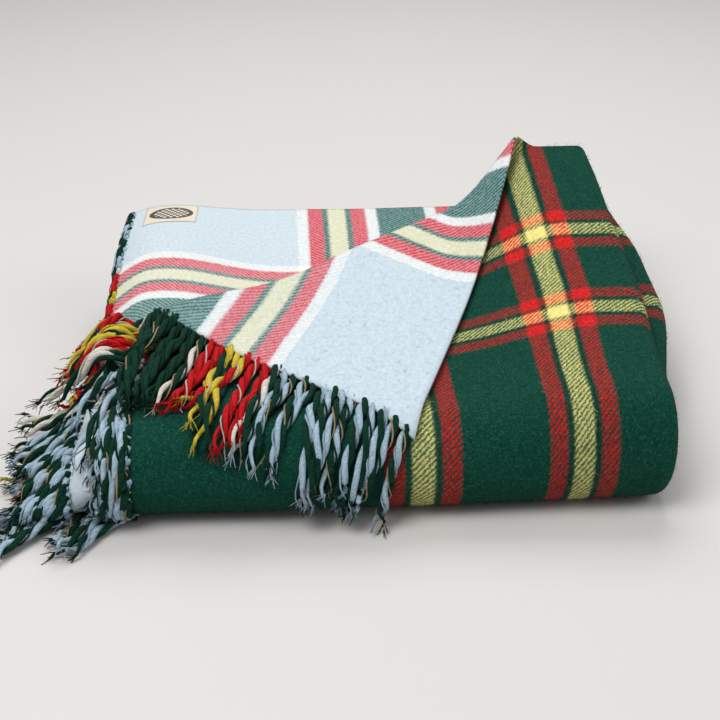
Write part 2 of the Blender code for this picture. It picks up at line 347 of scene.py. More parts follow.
def ripples(u, v):
    """Slight unevenness of hand-folded wool, as a height in metres."""
    return (1.0 * np.sin(u * 23 + 3 * np.sin(v * 9)) * np.sin(v * 17 + 1.3)
            + 0.6 * np.sin(u * 47 + v * 31) + 0.5 * np.sin(v * 61 - u * 19)) * 0.45 * MM


def even_lines(runs, steps):
    """Grid lines along one side of the flat cloth: each run at its own step."""
    lines = [0.0]
    for run, step in zip(runs, steps):
        count = max(round(run / step), 3)
        start = lines[-1]
        lines += [start + run * (i + 1) / count for i in range(count)]
    return np.array(lines)


# ---- mesh and node helpers ------------------------------------------------------
def new_object(name, vertices, faces, material, flat=None):
    """A smooth mesh object; flat holds each point's place on the flat cloth."""
    mesh = bpy.data.meshes.new(name)
    mesh.from_pydata([tuple(p) for p in vertices], [], faces)
    mesh.validate()
    mesh.polygons.foreach_set("use_smooth", [True] * len(mesh.polygons))
    if flat is not None:
        layer = mesh.attributes.new("flat_place", "FLOAT_VECTOR", "POINT")
        layer.data.foreach_set("vector", np.asarray(flat, np.float32).ravel())
    obj = bpy.data.objects.new(name, mesh)
    bpy.context.scene.collection.objects.link(obj)
    if material is not None:
        mesh.materials.append(material)
    return obj


def grid_faces(rows, columns):
    """Four-sided faces between the points of a grid."""
    index = np.arange(rows * columns).reshape(rows, columns)
    corners = (index[:-1, :-1], index[:-1, 1:], index[1:, 1:], index[1:, :-1])
    return np.stack([c.ravel() for c in corners], -1).tolist()


def new_material(name):
    """A material with its node tree and its shader."""
    material = bpy.data.materials.new(name)
    material.use_nodes = True
    tree = material.node_tree
    return material, tree, tree.nodes["Principled BSDF"]


def add_node(tree, kind, links=None, **settings):
    """Add a node. links maps its inputs to values or to other nodes' outputs."""
    node = tree.nodes.new(kind)
    for key, value in settings.items():
        setattr(node, key, value)
    for key, value in (links or {}).items():
        if isinstance(value, bpy.types.NodeSocket):
            tree.links.new(value, node.inputs[key])
        else:
            node.inputs[key].default_value = value
    return node


# ---- materials ------------------------------------------------------------------
# Noise scales, in lumps per metre. Single fibres are far finer than can show, so they
# are drawn about a millimetre wide.
WANDER_SCALE = 420.0            # the stripes' edges wander every 2.4 mm
FIBRE_SCALE = 850.0             # brushed fibres, 1.2 mm
TUFT_SCALE = 260.0              # brushed tufts, 4 mm
FLECK_SCALE = 620.0             # flecks of loose fibre, painted paler as sheen where they catch the light, 1.6 mm
STREAK_SCALE = 1100.0           # streaks of spun fibre, 0.9 mm
TWILL_PITCH = 0.0050            # as coarse as a blanket twill's groups of threads
LOZENGE_PITCH = 0.0075
RIB_PITCH = 0.0011              # the label tape's ribs, drawn twice as coarse as real
OVAL_HALF = (0.026, 0.0165)


def stripe_ramp(tree, place, across, palette):
    """The stripes across one direction, as one repeat on a colour ramp."""
    chart, repeat = stripes(across)
    offset = add_node(tree, "ShaderNodeMath", {0: place, 1: FIRST_BAND[across] * MM},
                      operation="SUBTRACT")
    # before the first band and after the last, the ground runs on to the edge
    length = side_length(across) - 2 * FIRST_BAND[across] * MM
    held = add_node(tree, "ShaderNodeClamp",
                    {"Value": offset.outputs[0], "Min": -MM, "Max": length + MM})
    phase = add_node(tree, "ShaderNodeMath", {0: held.outputs[0], 1: repeat * MM},
                     operation="FLOORED_MODULO")
    part = add_node(tree, "ShaderNodeMath", {0: phase.outputs[0], 1: repeat * MM},
                    operation="DIVIDE")
    ramp = add_node(tree, "ShaderNodeValToRGB", {"Fac": part.outputs[0]})
    points = ramp.color_ramp.elements
    blur = 0.9 / repeat
    edges = []
    for name, start, end in chart:
        edges.append((start / repeat + blur, name))
        edges.append((end / repeat - blur, name))
    for i, (position, name) in enumerate(edges):
        point = points[i] if i < len(points) else points.new(position)
        point.position = position
        point.color = palette[name]
    return ramp.outputs["Color"]


def brushed_wool(name, palette, weft_share, crossing_shade, fleck_sheen, fleck_sheen_share, raised):
    """Brushed woollen twill.

    Woven 2/2 twill, then brushed: slanting lines show warp and weft by turns. Where
    unlike yarns cross, a mix towards the square root of their product darkens them by the
    crossing share, as painted shade for the shadow each yarn casts on the other. Pale
    flecks of loose fibre, painted sheen for the light those fibres catch, veil the colours
    and blur every edge by a millimetre or two. raised is how strongly the brushing has
    roughened this side.
    """
    material, tree, shader = new_material(name)
    place = add_node(tree, "ShaderNodeAttribute", attribute_name="flat_place")
    wander = add_node(tree, "ShaderNodeTexNoise",
                      {"Vector": place.outputs["Vector"], "Scale": WANDER_SCALE,
                       "Detail": 3.0})
    shift = add_node(tree, "ShaderNodeVectorMath",
                     {0: wander.outputs["Color"], 1: (0.5, 0.5, 0.5)}, operation="SUBTRACT")
    shift = add_node(tree, "ShaderNodeVectorMath",
                     {0: shift.outputs[0], "Scale": 0.0045}, operation="SCALE")
    moved = add_node(tree, "ShaderNodeVectorMath",
                     {0: place.outputs["Vector"], 1: shift.outputs[0]}, operation="ADD")
    apart = add_node(tree, "ShaderNodeSeparateXYZ", {0: moved.outputs[0]})
    weft = stripe_ramp(tree, apart.outputs["X"], "weft", palette)
    warp = stripe_ramp(tree, apart.outputs["Y"], "warp", palette)
    slant = add_node(tree, "ShaderNodeMath",
                     {0: apart.outputs["X"], 1: apart.outputs["Y"]}, operation="ADD")
    wave = add_node(tree, "ShaderNodeMath", {0: slant.outputs[0], 1: 2 * pi / TWILL_PITCH},
                    operation="MULTIPLY")
    wave = add_node(tree, "ShaderNodeMath", {0: wave.outputs[0]}, operation="SINE")
    fibre = add_node(tree, "ShaderNodeTexNoise",
                     {"Vector": place.outputs["Vector"], "Scale": FIBRE_SCALE,
                      "Detail": 4.0, "Roughness": 0.7})
    rough = add_node(tree, "ShaderNodeMath", {0: fibre.outputs["Fac"], 1: 4.4, 2: -2.2},
                     operation="MULTIPLY_ADD")
    level = add_node(tree, "ShaderNodeMath", {0: wave.outputs[0], 1: rough.outputs[0]},
                     operation="ADD")
    over = add_node(tree, "ShaderNodeMapRange",
                    {"Value": level.outputs[0], "From Min": -0.9, "From Max": 0.9,
                     "To Min": weft_share - 0.5, "To Max": weft_share + 0.5},
                    interpolation_type="SMOOTHSTEP")
    beside = add_node(tree, "ShaderNodeMix",
                      {"Factor": over.outputs[0], 6: warp, 7: weft}, data_type="RGBA")
    # painted shade where unlike yarns cross: the square root of warp times weft, mixed in
    # by the crossing share
    product = add_node(tree, "ShaderNodeMix", {"Factor": 1.0, 6: warp, 7: weft},
                       data_type="RGBA", blend_type="MULTIPLY")
    shaded = add_node(tree, "ShaderNodeGamma", {"Color": product.outputs[2], "Gamma": 0.5})
    woven = add_node(tree, "ShaderNodeMix",
                     {"Factor": crossing_shade, 6: beside.outputs[2], 7: shaded.outputs[0]},
                     data_type="RGBA")
    tuft = add_node(tree, "ShaderNodeTexNoise",
                    {"Vector": place.outputs["Vector"], "Scale": TUFT_SCALE, "Detail": 6.0,
                     "Roughness": 0.72})
    fleck = add_node(tree, "ShaderNodeTexNoise",
                     {"Vector": place.outputs["Vector"], "Scale": FLECK_SCALE,
                      "Detail": 5.0, "Roughness": 0.8, "Distortion": 1.2})
    # pale flecks mixed into the colour: painted sheen for the light that loose fibres catch
    fleck_sheen_mask = add_node(tree, "ShaderNodeMapRange",
                    {"Value": fleck.outputs["Fac"], "From Min": 0.50, "From Max": 0.70,
                     "To Min": 0.0, "To Max": fleck_sheen_share})
    sheen_flecked = add_node(tree, "ShaderNodeMix",
                     {"Factor": fleck_sheen_mask.outputs[0], 6: woven.outputs[2], 7: linear(fleck_sheen)},
                     data_type="RGBA")
    shade = add_node(tree, "ShaderNodeMapRange",
                     {"Value": tuft.outputs["Fac"], "From Min": 0.3, "From Max": 0.7,
                      "To Min": 1 - 0.30 * raised, "To Max": 1 + 0.22 * raised})
    final = add_node(tree, "ShaderNodeMix",
                     {"Factor": 1.0, 6: sheen_flecked.outputs[2], 7: shade.outputs[0]},
                     data_type="RGBA", blend_type="MULTIPLY")
    tree.links.new(final.outputs[2], shader.inputs["Base Color"])
    height = add_node(tree, "ShaderNodeMath",
                      {0: wave.outputs[0], 1: 0.07, 2: tuft.outputs["Fac"]},
                      operation="MULTIPLY_ADD")
    height = add_node(tree, "ShaderNodeMath",
                      {0: fibre.outputs["Fac"], 1: 0.9, 2: height.outputs[0]},
                      operation="MULTIPLY_ADD")
    bump = add_node(tree, "ShaderNodeBump",
                    {"Height": height.outputs[0], "Distance": 0.0013 * raised,
                     "Strength": 0.8})
    tree.links.new(bump.outputs[0], shader.inputs["Normal"])
    shader.inputs["Roughness"].default_value = 0.95
    shader.inputs["Specular IOR Level"].default_value = 0.04
    shader.inputs["Sheen Weight"].default_value = 0.015
    shader.inputs["Sheen Roughness"].default_value = 0.6
    return material


def twisted_yarn(name, colour, pale):
    """Soft woollen yarn: fine streaks of fibre that wind slowly round it, from 0.38 of its
    colour up to a pale painted highlight.
    """
    material, tree, shader = new_material(name)
    # flat_place holds the fibres' own direction, so the noise runs along them
    place = add_node(tree, "ShaderNodeAttribute", attribute_name="flat_place")
    streak = add_node(tree, "ShaderNodeTexNoise",
                      {"Vector": place.outputs["Vector"], "Scale": STREAK_SCALE,
                       "Detail": 5.0, "Roughness": 0.75})
    ramp = add_node(tree, "ShaderNodeValToRGB", {"Fac": streak.outputs["Fac"]})
    dark, middle = ramp.color_ramp.elements
    dark.position, middle.position = 0.30, 0.52
    dark.color = [c * 0.38 for c in colour[:3]] + [1]
    middle.color = colour
    # the pale end of the streaks is painted highlight
    ramp.color_ramp.elements.new(0.72).color = linear(pale)
    tree.links.new(ramp.outputs["Color"], shader.inputs["Base Color"])
    bump = add_node(tree, "ShaderNodeBump",
                    {"Height": streak.outputs["Fac"], "Distance": 0.0018, "Strength": 1.0})
    tree.links.new(bump.outputs[0], shader.inputs["Normal"])
    shader.inputs["Roughness"].default_value = 0.92
    shader.inputs["Specular IOR Level"].default_value = 0.1
    shader.inputs["Sheen Weight"].default_value = 0.02
    shader.inputs["Sheen Roughness"].default_value = 0.5
    return material


def woven_label(ground, brown):
    """Damask label tape: cream satin ground with a brown woven oval.

    The oval is 52 by 33 mm and holds a plain lattice of small lozenges. The tape's fine
    ribs give it a slight sheen.
    """
    material, tree, shader = new_material("Woven label tape")
    # here flat_place is measured from the label's middle
    place = add_node(tree, "ShaderNodeAttribute", attribute_name="flat_place")
    apart = add_node(tree, "ShaderNodeSeparateXYZ", {0: place.outputs["Vector"]})
    sides = (apart.outputs["X"], apart.outputs["Y"])
    squares = []
    for side, half in zip(sides, OVAL_HALF):
        share = add_node(tree, "ShaderNodeMath", {0: side, 1: half}, operation="DIVIDE")
        squares.append(add_node(tree, "ShaderNodeMath", {0: share.outputs[0], 1: 2.0},
                                operation="POWER").outputs[0])
    radius = add_node(tree, "ShaderNodeMath", dict(enumerate(squares)), operation="ADD")
    inside = add_node(tree, "ShaderNodeMath", {0: radius.outputs[0], 1: 1.0},
                      operation="LESS_THAN")
    ring = add_node(tree, "ShaderNodeMath", {0: radius.outputs[0], 1: 0.66},
                    operation="GREATER_THAN")
    waves = []
    for operation in ("ADD", "SUBTRACT"):
        slope = add_node(tree, "ShaderNodeMath", dict(enumerate(sides)),
                         operation=operation)
        turn = add_node(tree, "ShaderNodeMath",
                        {0: slope.outputs[0], 1: 2 * pi / LOZENGE_PITCH},
                        operation="MULTIPLY")
        waves.append(add_node(tree, "ShaderNodeMath", {0: turn.outputs[0]},
                              operation="COSINE").outputs[0])
    lattice = add_node(tree, "ShaderNodeMath", dict(enumerate(waves)), operation="ADD")
    lozenge = add_node(tree, "ShaderNodeMath", {0: lattice.outputs[0], 1: -0.1},
                       operation="GREATER_THAN")
    dark = add_node(tree, "ShaderNodeMath", {0: ring.outputs[0], 1: lozenge.outputs[0]},
                    operation="MAXIMUM")
    dark = add_node(tree, "ShaderNodeMath", {0: dark.outputs[0], 1: inside.outputs[0]},
                    operation="MULTIPLY")
    rib = add_node(tree, "ShaderNodeMath", {0: sides[1], 1: 2 * pi / RIB_PITCH},
                   operation="MULTIPLY")
    rib = add_node(tree, "ShaderNodeMath", {0: rib.outputs[0]}, operation="SINE")
    mixed = add_node(tree, "ShaderNodeMix",
                     {"Factor": dark.outputs[0], 6: ground, 7: brown}, data_type="RGBA")
    tree.links.new(mixed.outputs[2], shader.inputs["Base Color"])
    bump = add_node(tree, "ShaderNodeBump",
                    {"Height": rib.outputs[0], "Distance": 0.0002, "Strength": 0.6})
    tree.links.new(bump.outputs[0], shader.inputs["Normal"])
    shader.inputs["Roughness"].default_value = 0.6
    shader.inputs["Sheen Weight"].default_value = 0.2
    return material


# ---- sizes and colours ----------------------------------------------------------
def colour_property(name, description, value):
    """A colour property. value is its default as sRGB hex."""
    return bpy.props.FloatVectorProperty(name=name, description=description,
                                         subtype="COLOR", size=4, min=0.0, max=1.0,
                                         default=linear(value))


class RugColours(bpy.types.PropertyGroup):
    """The colours of the two sides' stripes, of the tassels' yarns and of the label"""

    face_ground: colour_property("Face ground", "Green ground of the face", "#073E30")
    face_thin: colour_property("Face thin", "Thin stripes beside the yellow", "#063226")
    face_red: colour_property("Face red", "Red stripes of the face", "#D9101A")
    face_yellow: colour_property("Face yellow", "Yellow stripes of the face", "#FFEA8E")
    reverse_ground: colour_property("Reverse ground", "Blue ground", "#C3D2DB")
    reverse_gap: colour_property("Reverse gap", "Green between two bands", "#083C2E")
    reverse_white: colour_property("Reverse white", "White stripes", "#F8F2EA")
    reverse_thin: colour_property("Reverse thin", "Thin stripes, reverse", "#083A2C")
    reverse_red: colour_property("Reverse red", "Red stripes of the reverse", "#D8121A")
    reverse_yellow: colour_property("Reverse yellow", "Yellow stripes, reverse", "#EADCA0")
    blue_yarn: colour_property("Blue yarn", "Tassel yarn of the blue ground", "#B2CFE2")
    green_yarn: colour_property("Green yarn", "Tassel yarn of the green ground", "#053425")
    red_yarn: colour_property("Red yarn", "Tassel yarn of the red stripes", "#D20F18")
    yellow_yarn: colour_property("Yellow yarn", "Tassel yarn of the yellow", "#E8CC3A")
    white_yarn: colour_property("White yarn", "Tassel yarn of the white stripes", "#F2EADC")
    beige_yarn: colour_property("Beige yarn", "Fine yarn in some tassels", "#C2A67E")
    label_ground: colour_property("Label ground", "Cream ground of the label", "#E4D8C2")
    label_brown: colour_property("Label oval", "Brown thread of the label", "#241A14")


def stripe_colours(colours, stripe_names):
    """The colour of each stripe on one side of the cloth."""
    return {stripe: tuple(getattr(colours, name)) for stripe, name in stripe_names.items()}


class RugSizes(bpy.types.PropertyGroup):
    """The sizes of the mesh, the raised fibres and the tassels"""

    fineness: bpy.props.FloatProperty(
        name="Mesh step", description="Grid step of the cloth that shows",
        default=0.005, min=0.003, max=0.02, unit="LENGTH")
    hairs: bpy.props.IntProperty(
        name="Raised fibres", description="Number of brushed fibres that show",
        default=14000, min=0, max=40000, subtype="UNSIGNED")
    tassel_pitch: bpy.props.FloatProperty(
        name="Tassel pitch", description="From one tassel to the next along the edge",
        default=0.0087, min=0.006, max=0.02, unit="LENGTH")
    tassel_length: bpy.props.FloatProperty(
        name="Tassel length", description="Length of a tassel from edge to tip",
        default=0.084, min=0.04, max=0.12, unit="LENGTH")
    yarn_radius: bpy.props.FloatProperty(
        name="Yarn radius", description="Radius of each of a tassel's two yarns",
        default=0.0026, min=0.001, max=0.004, unit="LENGTH")
    twist: bpy.props.FloatProperty(
        name="Twist", description="Length of one full turn of a tassel",
        default=0.036, min=0.01, max=0.06, unit="LENGTH")


# ---- the cloth ------------------------------------------------------------------
SHELL_T = 0.0028
TURN_STEP = 0.003               # grid step round the small turns
NAP_WIDTH = 0.00016
NAP_LOWEST = 0.0004
NAP_POINTS = 4                  # along each raised fibre


class RUG_OT_cloth(bpy.types.Operator):
    """Fold the double-faced cloth from its flat size"""

    bl_idname = "rug.cloth"
    bl_label = "Cloth"

    def execute(self, context):
        step = context.scene.rug_sizes.fineness
        hidden = 4 * step
        us = even_lines(U_RUNS, (step, TURN_STEP, hidden, TURN_STEP, hidden, TURN_STEP,
                                 1.2 * step))
        vs = even_lines(V_RUNS, (step, step, 2.4 * step, 0.005, hidden))
        u, v = (a.ravel() for a in np.meshgrid(us, vs, indexing="ij"))
        points = folded(u, v, ripples(u, v))
        faces = [face[::-1] for face in grid_faces(len(us), len(vs))]
        colours = context.scene.rug_colours
        # The pale fleck colours below are painted sheen: loose fibres catching the light,
        # pale green on the face and white on the reverse.
        face = brushed_wool(
            "Brushed wool, green face", stripe_colours(colours, FACE_STRIPES),
            weft_share=0.58, crossing_shade=0.34, fleck_sheen="#5AA48E", fleck_sheen_share=0.36, raised=1.0)
        reverse = brushed_wool(
            "Brushed wool, blue reverse", stripe_colours(colours, REVERSE_STRIPES),
            weft_share=0.63, crossing_shade=0.62, fleck_sheen="#F2F4F4", fleck_sheen_share=0.16, raised=0.5)
        cloth = new_object("Rug_cloth", points, faces, reverse,
                           np.stack((u, v, 0 * u), -1))
        cloth.data.materials.append(face)
        shell = cloth.modifiers.new("Thickness", "SOLIDIFY")
        shell.thickness = SHELL_T
        shell.offset = 0.0
        shell.material_offset = 1
        shell.material_offset_rim = 0
        hairs = nap("Rug_nap", face, reverse, context.scene.rug_sizes.hairs)
        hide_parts("rug_cloth")
        for piece in (cloth, hairs):
            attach(piece, BODY)
        return {"FINISHED"}


def nap(name, face, reverse, count):
    """Fibres raised by brushing: short flat hairs that lean with the nap."""
    rng = np.random.default_rng(11)
    # the top layer, the front roll, the right end, and the under layer's fringed end
    kind = rng.choice(4, count, p=(0.50, 0.32, 0.10, 0.08))
    right, roll = U_RUNS[0] + U_RUNS[1], V_RUNS[0] + V_RUNS[1]
    u_zones = ((0, U_RUNS[0]), (0, U_RUNS[0]), (U_RUNS[0], right),
               (RUG_LENGTH - 0.10, RUG_LENGTH))
    v_zones = ((0, V_RUNS[0]), (V_RUNS[0], roll), (0, RUG_WIDTH), (0.25, roll))
    u, v = (np.choose(kind, [rng.uniform(low, high, count) for low, high in zones])
            for zones in (u_zones, v_zones))
    turned = (u - EAR_U) * FOLD_N[0] + v * FOLD_N[1] > 0
    outer = np.where(turned | (kind == 3), -1.0, 1.0)
    length = rng.uniform(0.003, 0.0075, count)
    lean = rng.uniform(0, 2 * pi, count)
    reach = length * rng.uniform(0.5, 1.0, count)
    rise = rng.uniform(0.0004, 0.0022, count)
    bend = rng.normal(0, 0.5, count)
    points = []
    for t in np.linspace(0, 1, NAP_POINTS):
        angle = lean + bend * t
        du, dv = reach * t * np.cos(angle), reach * t * np.sin(angle)
        w = outer * (CLOTH_T / 2 + rise * t * (1.6 - 0.6 * t)) + ripples(u, v)
        for half in (-1, 1):
            spread = half * NAP_WIDTH * (1 - 0.6 * t)
            points.append(folded(np.clip(u + du - spread * np.sin(angle), 0, RUG_LENGTH),
                                 np.maximum(v + dv + spread * np.cos(angle), 0), w))
    points = np.stack(points, 1).reshape(-1, 3)
    points[:, 2] = np.maximum(points[:, 2], NAP_LOWEST)
    first = np.arange(count)[:, None] * 2 * NAP_POINTS
    faces = [first + np.array((2 * i, 2 * i + 1, 2 * i + 3, 2 * i + 2))
             for i in range(NAP_POINTS - 1)]
    faces = np.concatenate(faces, 1).reshape(-1, 4).tolist()
    flat = np.repeat(np.stack((u, v, 0 * u), -1), 2 * NAP_POINTS, axis=0)
    hairs = new_object(name, points, faces, face, flat)
    hairs.data.materials.append(reverse)
    hairs.data.polygons.foreach_set(
        "material_index", np.repeat((outer < 0).astype(np.int32), NAP_POINTS - 1))
    return hairs


# ---- the fringes ----------------------------------------------------------------
BEND_LENGTH = 0.016             # over which a tassel's direction gives way
YARN_WIND = 0.022               # fibres make one turn round their yarn in this length
STREAK_ROUND = 0.0026           # radius at which the streaks are charted round a yarn
STREAK_STRETCH = 7              # streaks run this many times their width
FRINGE_MARGIN = 0.004           # from each selvedge to the first tassel's edge
TASSEL_POINTS = 24
STRAY_RADIUS = 0.00065
STRAY_POINTS = 4


def fall(root, ahead, heading, weight, length, steps, floor):
    """A soft path that leaves along ahead, sinks, and turns to its heading."""
    step = length / (steps - 1)
    heading = np.array((*heading, 0.0)) / hypot(*heading)
    way = ahead / np.linalg.norm(ahead)
    path = [np.array(root)]
    for _ in range(steps - 1):
        low = path[-1][2] <= floor + 1e-6
        pull = heading - np.array((0, 0, 0.0 if low else weight))
        way = way + (pull - way) * step / BEND_LENGTH
        if low:
            way[2] = max(way[2], 0.0)
        way /= np.linalg.norm(way)
        point = path[-1] + way * step
        point[2] = max(point[2], floor)
        path.append(point)
    return np.array(path)


def clump(place):
    """Neighbouring tassels lean together: a share from -1 to 1."""
    return 0.6 * sin(place * 95) + 0.4 * sin(place * 217 + 1.7)


def tassel_path(end, place, length, rng, steps):
    """A tassel's middle line, from its root in the fringed end to its tip."""
    def beyond(out, across, height):
        """A point that lies out from the fringed end."""
        if end == "top":
            return folded(-out, across, height)
        return folded(RUG_LENGTH + out, across, -height)

    lean = rng.normal(0, 0.07) + 0.16 * clump(place)
    curl = rng.normal(0, 1.6)
    wave = rng.uniform(0, 2 * pi)
    lift = rng.uniform(0.0005, 0.0035)
    floor = rng.uniform(0.0042, 0.0085)
    roll_start, roll_end = V_RUNS[0], V_RUNS[0] + V_RUNS[1]
    if end == "top" and place < EAR_V:
        # on the turned corner: over the front, straight down by their own weight
        length *= 0.76 + 1.75 * place
        lean *= 0.55
    elif (end == "under" and place < roll_start - 0.09) or place > roll_end - 0.03:
        # along the left side: straight down, then towards the front
        root = beyond(0.0, place, lift)
        ahead = beyond(0.012, place, lift) - root
        front = np.clip((0.02 - root[1]) / 0.20, 0, 1)
        heading = (-(0.10 + 0.85 * front + 0.12 * rng.normal()), -1.0 + 0.35 * clump(place))
        return fall(root - ahead * 0.3, ahead, heading, 1.5, length * 0.95, steps, floor)
    s = np.linspace(-0.004, length, steps)
    t = np.maximum(s, 0)
    fade = np.minimum(t / 0.02, 1)
    side = lean * t + curl * t ** 2 + 0.0016 * np.sin(t * 70 + wave) * fade
    rise = lift + 0.0014 * np.sin(t * 60 + wave) * fade
    out = s
    if place > EAR_V:
        # beside the turned corner: down over the roll's shoulder as they go out
        if end == "top":
            slide = smooth((place - EAR_V - 0.060) / 0.030)
            drop = t * 0.90 * slide
            out = s * (0.86 - 0.54 * slide)
            rise = rise + 0.042 * (1 - slide) * smooth(t / 0.05)
        else:
            slide = smooth((place - roll_start + 0.08) / 0.10)
            drop = t * 0.36 * slide
            out = s * (0.70 - 0.18 * slide)
        lowest = roll_end - 0.034
        side = np.minimum(side + drop, max(lowest - place, 0.0) + 0.06 * t)
    return beyond(out, place + side, rise)


def along_path(path):
    """Unit directions at each point of a path: ahead, to its side, and up from it."""
    ahead = np.gradient(path, axis=0)
    ahead /= np.linalg.norm(ahead, axis=1)[:, None]
    side = np.cross(ahead, (0, 0, 1.0))
    side /= np.maximum(np.linalg.norm(side, axis=1), 1e-6)[:, None]
    return ahead, side, np.cross(side, ahead)


def tube(path, radius, sides, shape):
    """A tube along a path. shape gives the radius's share at each point."""
    _, side, top = along_path(path)
    angle = 2 * pi * np.arange(sides) / sides
    ring = (side[:, None] * np.cos(angle)[None, :, None]
            + top[:, None] * np.sin(angle)[None, :, None])
    return path[:, None] + ring * (radius * shape)[:, None, None]


class YarnMesh:
    """Gathers many tubes into one mesh, with each yarn's colour as its material."""

    def __init__(self):
        self.points, self.faces, self.flat, self.slots = [], [], [], []
        self.count = 0

    def add(self, rings, slot):
        """Add a tube's rings of points, and close its two ends."""
        rows, sides = rings.shape[:2]
        index = self.count + np.arange(rows * sides).reshape(rows, sides)
        beside = np.roll(index, -1, axis=1)
        quads = np.stack((index[:-1], beside[:-1], beside[1:], index[1:]), -1)
        quads = quads.reshape(-1, 4)
        self.faces += quads.tolist()
        self.faces += [index[-1].tolist(), index[0][::-1].tolist()]
        self.slots += [slot] * (len(quads) + 2)
        middle = rings.mean(axis=1)
        lengths = np.linalg.norm(np.diff(middle, axis=0), axis=1)
        along = np.r_[0, np.cumsum(lengths)][:, None]
        angle = 2 * pi * (np.arange(sides)[None, :] / sides + along / YARN_WIND)
        self.flat.append(np.stack(np.broadcast_arrays(
            STREAK_ROUND * np.cos(angle), STREAK_ROUND * np.sin(angle),
            along / STREAK_STRETCH + self.count), -1).reshape(-1, 3))
        self.points.append(rings.reshape(-1, 3))
        self.count += rows * sides

    def build(self, name, materials):
        """One object with all the tubes."""
        obj = new_object(name, np.concatenate(self.points), self.faces, None,
                         np.concatenate(self.flat))
        for material in materials:
            obj.data.materials.append(material)
        obj.data.polygons.foreach_set("material_index", self.slots)
        return obj


# Each yarn's name, its colour property and the pale colour of its painted highlight, where
# the fibres catch the light.
YARNS = (("Blue wool yarn", "blue_yarn", "#F2F8FB"),
         ("Green wool yarn", "green_yarn", "#1E6A52"),
         ("Red wool yarn", "red_yarn", "#F0443C"),
         ("Yellow wool yarn", "yellow_yarn", "#F6E88A"),
         ("White wool yarn", "white_yarn", "#FFFFFF"),
         ("Beige wool yarn", "beige_yarn", "#E6D6B8"))
BLUE, GREEN, RED, YELLOW, WHITE, BEIGE = range(6)
TASSEL_YARNS = {"ground": (BLUE, GREEN), "gap": (GREEN, GREEN), "white": (WHITE, GREEN),
                "red": (RED, RED), "thin": (RED, YELLOW), "yellow": (YELLOW, GREEN)}


def fray(yarns, tip, ahead, kind, count, rng):
    """Loose fibres that stray from a yarn's tip."""
    for _ in range(count):
        stray = ahead + rng.normal(0, 0.30, 3)
        stray /= np.linalg.norm(stray)
        reach = rng.uniform(0.006, 0.013)
        bend = rng.normal(0, 0.35, 3)
        t = np.linspace(0, 1, STRAY_POINTS)[:, None]
        hair = tip + reach * (stray * t + bend * t ** 2 * 0.5) - ahead * 0.003
        hair[:, 2] = np.maximum(hair[:, 2], 0.0006)
        yarns.add(tube(hair, STRAY_RADIUS, 3, np.linspace(1, 0.5, STRAY_POINTS)), kind)


def build_fringe(name, end, sizes, colours, seed):
    """One fringed end: two yarns twisted round each other for each tassel."""
    rng = np.random.default_rng(seed)
    yarns = YarnMesh()
    count = int((RUG_WIDTH - FRINGE_MARGIN) / sizes.tassel_pitch)
    pitch = (RUG_WIDTH - 2 * FRINGE_MARGIN) / count
    for i in range(count):
        place = FRINGE_MARGIN + (i + 0.5 + rng.uniform(-0.12, 0.12)) * pitch
        length = sizes.tassel_length * rng.uniform(0.86, 1.06)
        path = tassel_path(end, place, length, rng, TASSEL_POINTS)
        ahead, side, top = along_path(path)
        s = np.linspace(0, length, TASSEL_POINTS)
        twist = sizes.twist * rng.uniform(0.8, 1.3)
        turns = 2 * pi * s / twist + rng.uniform(0, 2 * pi)
        loose = smooth((s - 0.74 * length) / (0.26 * length))
        kinds = TASSEL_YARNS[stripe_at("warp", place)]
        stout = sizes.yarn_radius * rng.uniform(0.9, 1.1)
        # (yarn, where round the tassel it starts, share of the stout yarns' girth)
        strands = [(kind, pi * k, 1.0) for k, kind in enumerate(kinds)]
        if i % 5 < 2:
            strands.append((BEIGE if kinds[1] == GREEN else WHITE, 2.0, 0.26))
        strands.append((kinds[i % 2], 5.0, 0.34))
        shape = np.minimum(1.0, 0.8 + s / 0.02) * (1 - 0.5 * loose)
        for kind, start, girth in strands:
            angle = (turns + start)[:, None]
            spread = stout * (0.86 + 0.85 * (1 - girth) + 0.9 * loose)[:, None]
            strand = path + spread * (side * np.cos(angle) + top * np.sin(angle))
            strand[:, 2] = np.maximum(strand[:, 2], stout * girth * 0.95)
            sides, strays = (7, 6) if girth == 1 else (4, 1)
            yarns.add(tube(strand, stout * girth, sides, shape), kind)
            fray(yarns, strand[-1], ahead[-1], kind, strays, rng)
    materials = [twisted_yarn(f"{label}, {end}", tuple(getattr(colours, colour)), pale)
                 for label, colour, pale in YARNS]
    fringe = yarns.build(name, materials)
    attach(fringe, BODY)
    return fringe


class RUG_OT_fringes(bpy.types.Operator):
    """Twist the tassels of both fringed ends"""

    bl_idname = "rug.fringes"
    bl_label = "Fringes"

    def execute(self, context):
        sizes, colours = context.scene.rug_sizes, context.scene.rug_colours
        top = build_fringe("Rug_fringe_top", "top", sizes, colours, seed=3)
        under = build_fringe("Rug_fringe_under", "under", sizes, colours, seed=8)
        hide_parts("fringe_top")
        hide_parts("fringe_under")
        return {"FINISHED"}


# ---- the label and the studio ---------------------------------------------------
LABEL_GRID = (26, 18)
FLOOR_HALF = 6.0
LIGHTS = (("Key", (-0.9, -0.9, 1.9), 34, 1.2),      # from the box's middle, W, width in m
          ("Fill", (1.8, -0.6, 1.3), 13, 1.5),
          ("Top", (0.2, 1.2, 1.9), 27, 1.4))
CAMERA_LENS = 70.85
CAMERA_AWAY = 1.318
CAMERA_RISE = radians(27.5)
CAMERA_TURN = radians(3.4)
CAMERA_TARGET_Z = 0.0186


